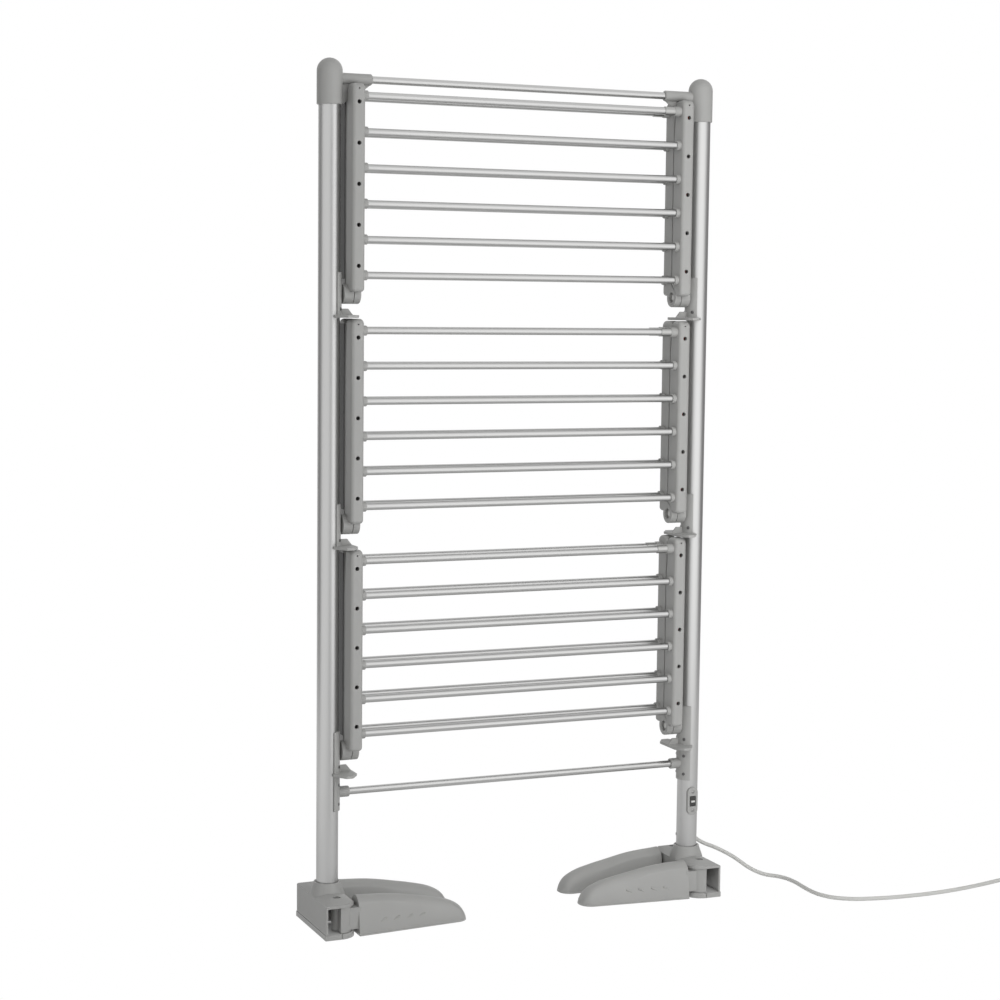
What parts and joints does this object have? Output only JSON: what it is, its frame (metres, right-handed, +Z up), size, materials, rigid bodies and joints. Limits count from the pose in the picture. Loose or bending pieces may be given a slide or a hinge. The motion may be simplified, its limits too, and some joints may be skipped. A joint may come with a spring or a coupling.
{
  "type": "heated clothes airer",
  "caption": "Folding heated clothes airer with hinged tiers of heated aluminium tubes between two posts on folding legs.",
  "frame": {"origin": "on the floor, midway between the two posts", "axes": "+Z up, +X along the tubes towards the post with the switch, the switch faces -Y"},
  "size_m": [1.4708, 0.2872, 1.4202],
  "materials": {
    "grey_plastic": "fine moulded texture",
    "light_grey_plastic": "fine moulded texture",
    "satin_aluminium": "satin anodised",
    "zinc_plated_steel": "zinc plated",
    "dark_plastic": "semi-gloss",
    "light_grey_cable": "smooth",
    "heating_cable": "smooth silicone"
  },
  "bodies": {
    "frame": {"post_left": "satin_aluminium", "post_right": "satin_aluminium", "post_cap_left": "grey_plastic", "post_cap_right": "grey_plastic", "top_rail": "satin_aluminium", "bottom_bar": "satin_aluminium", "bottom_bracket_left": "light_grey_plastic", "bottom_bracket_right": "light_grey_plastic", "middle_bracket_left": "light_grey_plastic", "middle_bracket_right": "light_grey_plastic", "top_bracket_left": "light_grey_plastic", "top_bracket_right": "light_grey_plastic", "bottom_hinge_pin_left": "zinc_plated_steel", "bottom_hinge_pin_right": "zinc_plated_steel", "middle_hinge_pin_left": "zinc_plated_steel", "middle_hinge_pin_right": "zinc_plated_steel", "top_hinge_pin_left": "zinc_plated_steel", "top_hinge_pin_right": "zinc_plated_steel", "foot_cover_left": "grey_plastic", "foot_cover_right": "grey_plastic", "foot_base_left": "grey_plastic", "foot_base_right": "grey_plastic", "leg_pin_front_left": "zinc_plated_steel", "leg_pin_front_right": "zinc_plated_steel", "leg_pin_back_left": "zinc_plated_steel", "leg_pin_back_right": "zinc_plated_steel", "switch_housing": "light_grey_plastic", "cord_strain_relief": "light_grey_cable", "supply_cord": "light_grey_cable", "supply_cord_coil": "light_grey_cable", "plug": "light_grey_cable"},
    "bottom_front_wing": {"bottom_front_rail_left": "grey_plastic", "bottom_front_rail_right": "grey_plastic", "bottom_front_rods": "satin_aluminium", "bottom_front_heater": "heating_cable"},
    "bottom_back_wing": {"bottom_back_rail_left": "grey_plastic", "bottom_back_rail_right": "grey_plastic", "bottom_back_rods": "satin_aluminium", "bottom_back_heater": "heating_cable"},
    "middle_front_wing": {"middle_front_rail_left": "grey_plastic", "middle_front_rail_right": "grey_plastic", "middle_front_rods": "satin_aluminium", "middle_front_heater": "heating_cable"},
    "middle_back_wing": {"middle_back_rail_left": "grey_plastic", "middle_back_rail_right": "grey_plastic", "middle_back_rods": "satin_aluminium", "middle_back_heater": "heating_cable"},
    "top_front_wing": {"top_front_rail_left": "grey_plastic", "top_front_rail_right": "grey_plastic", "top_front_rods": "satin_aluminium", "top_front_heater": "heating_cable"},
    "top_back_wing": {"top_back_rail_left": "grey_plastic", "top_back_rail_right": "grey_plastic", "top_back_rods": "satin_aluminium", "top_back_heater": "heating_cable"},
    "front_right_leg": {"leg_front_right": "grey_plastic"},
    "back_right_leg": {"leg_back_right": "grey_plastic"},
    "front_left_leg": {"leg_front_left": "grey_plastic"},
    "back_left_leg": {"leg_back_left": "grey_plastic"},
    "rocker": {"switch_rocker": "dark_plastic"}
  },
  "joints": [
    {"name": "bottom_front_wing_hinge", "type": "hinge", "parent": "frame", "child": "bottom_front_wing", "pos_m": [0, 0, 0.295], "axis": [1, 0, 0], "range_deg": [0, 90]},
    {"name": "bottom_back_wing_hinge", "type": "hinge", "parent": "frame", "child": "bottom_back_wing", "pos_m": [0, 0, 0.295], "axis": [1, 0, 0], "range_deg": [-90, 0]},
    {"name": "middle_front_wing_hinge", "type": "hinge", "parent": "frame", "child": "middle_front_wing", "pos_m": [0, 0, 0.67], "axis": [1, 0, 0], "range_deg": [0, 90]},
    {"name": "middle_back_wing_hinge", "type": "hinge", "parent": "frame", "child": "middle_back_wing", "pos_m": [0, 0, 0.67], "axis": [1, 0, 0], "range_deg": [-90, 0]},
    {"name": "top_front_wing_hinge", "type": "hinge", "parent": "frame", "child": "top_front_wing", "pos_m": [0, 0, 1.045], "axis": [1, 0, 0], "range_deg": [0, 90]},
    {"name": "top_back_wing_hinge", "type": "hinge", "parent": "frame", "child": "top_back_wing", "pos_m": [0, 0, 1.045], "axis": [1, 0, 0], "range_deg": [-90, 0]},
    {"name": "front_right_leg_pivot", "type": "hinge", "parent": "frame", "child": "front_right_leg", "pos_m": [0.336, -0.05, 0.03], "axis": [0, 0, 1], "range_deg": [0, 90]},
    {"name": "back_right_leg_pivot", "type": "hinge", "parent": "frame", "child": "back_right_leg", "pos_m": [0.336, 0.05, 0.03], "axis": [0, 0, 1], "range_deg": [-90, 0]},
    {"name": "front_left_leg_pivot", "type": "hinge", "parent": "frame", "child": "front_left_leg", "pos_m": [-0.336, -0.05, 0.03], "axis": [0, 0, 1], "range_deg": [-90, 0]},
    {"name": "back_left_leg_pivot", "type": "hinge", "parent": "frame", "child": "back_left_leg", "pos_m": [-0.336, 0.05, 0.03], "axis": [0, 0, 1], "range_deg": [0, 90]},
    {"name": "switch_rocker_pivot", "type": "hinge", "parent": "frame", "child": "rocker", "pos_m": [0.336, -0.0194, 0.16], "axis": [1, 0, 0], "range_deg": [-14, 0]}
  ]
}
